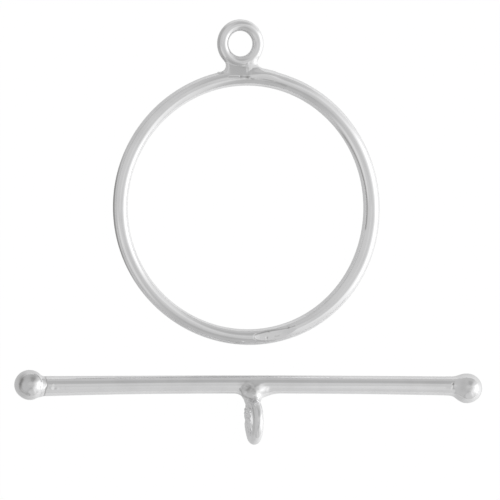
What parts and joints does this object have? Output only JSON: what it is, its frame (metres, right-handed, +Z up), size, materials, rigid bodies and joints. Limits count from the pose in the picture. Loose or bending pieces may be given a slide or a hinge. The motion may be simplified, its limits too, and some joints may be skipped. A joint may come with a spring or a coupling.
{
  "type": "toggle clasp",
  "caption": "Polished silver toggle clasp: a round wire hoop with a small soldered eye, and a straight ball-ended bar with its own eye that passes through the hoop and locks across it.",
  "frame": {"origin": "on the surface that the clasp lies on, under the middle of its bounding box", "axes": "+X along the bar, +Y from the bar towards the hoop and its eye, +Z up from the surface"},
  "size_m": [0.0436, 0.0386, 0.0042],
  "materials": {
    "polished_silver": "polished silver, with fine rubbing marks and smooth solder"
  },
  "bodies": {
    "root": {"toggle_ring": "polished_silver", "toggle_bar": "polished_silver"}
  },
  "joints": []
}
